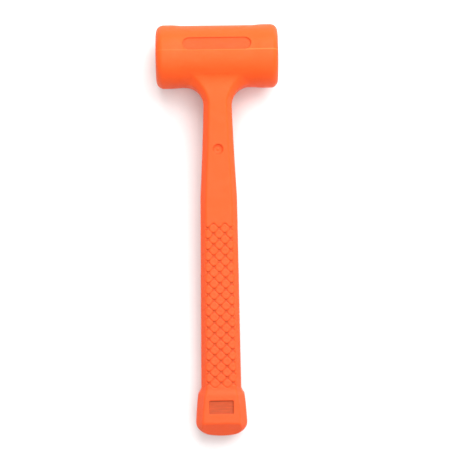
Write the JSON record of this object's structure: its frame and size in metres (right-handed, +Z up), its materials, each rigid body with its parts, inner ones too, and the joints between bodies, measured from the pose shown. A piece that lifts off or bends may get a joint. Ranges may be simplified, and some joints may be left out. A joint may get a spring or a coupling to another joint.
{
  "type": "dead blow mallet",
  "caption": "Soft-faced dead blow mallet: cylindrical head with a sealed canister of loose shot, moulded in one with its handle.",
  "frame": {"origin": "on the bench under the middle of the mallet as it lies on its back, at the centre of its bounding box's base", "axes": "+Y along the handle towards the head, +X along the striking axis towards the right face, +Z up out of the mallet's front"},
  "size_m": [0.098, 0.33, 0.0508],
  "materials": {
    "orange_urethane": "satin",
    "bare_steel": "satin",
    "weld_metal": "matte",
    "shot_steel": "polished"
  },
  "bodies": {
    "mallet": {"cover": "orange_urethane", "locating_plug_front": "orange_urethane", "locating_plug_rear": "orange_urethane", "canister_tube": "bare_steel", "canister_cap_left": "bare_steel", "canister_cap_right": "bare_steel", "cap_weld_left": "weld_metal", "cap_weld_right": "weld_metal", "handle_rod": "bare_steel", "rod_weld": "weld_metal"},
    "shot": {"shot_charge": "shot_steel"}
  },
  "joints": [
    {"name": "shot_slide", "type": "slide", "parent": "mallet", "child": "shot", "axis": [1, 0, 0], "range_m": [-0.0077, 0.0077]}
  ]
}
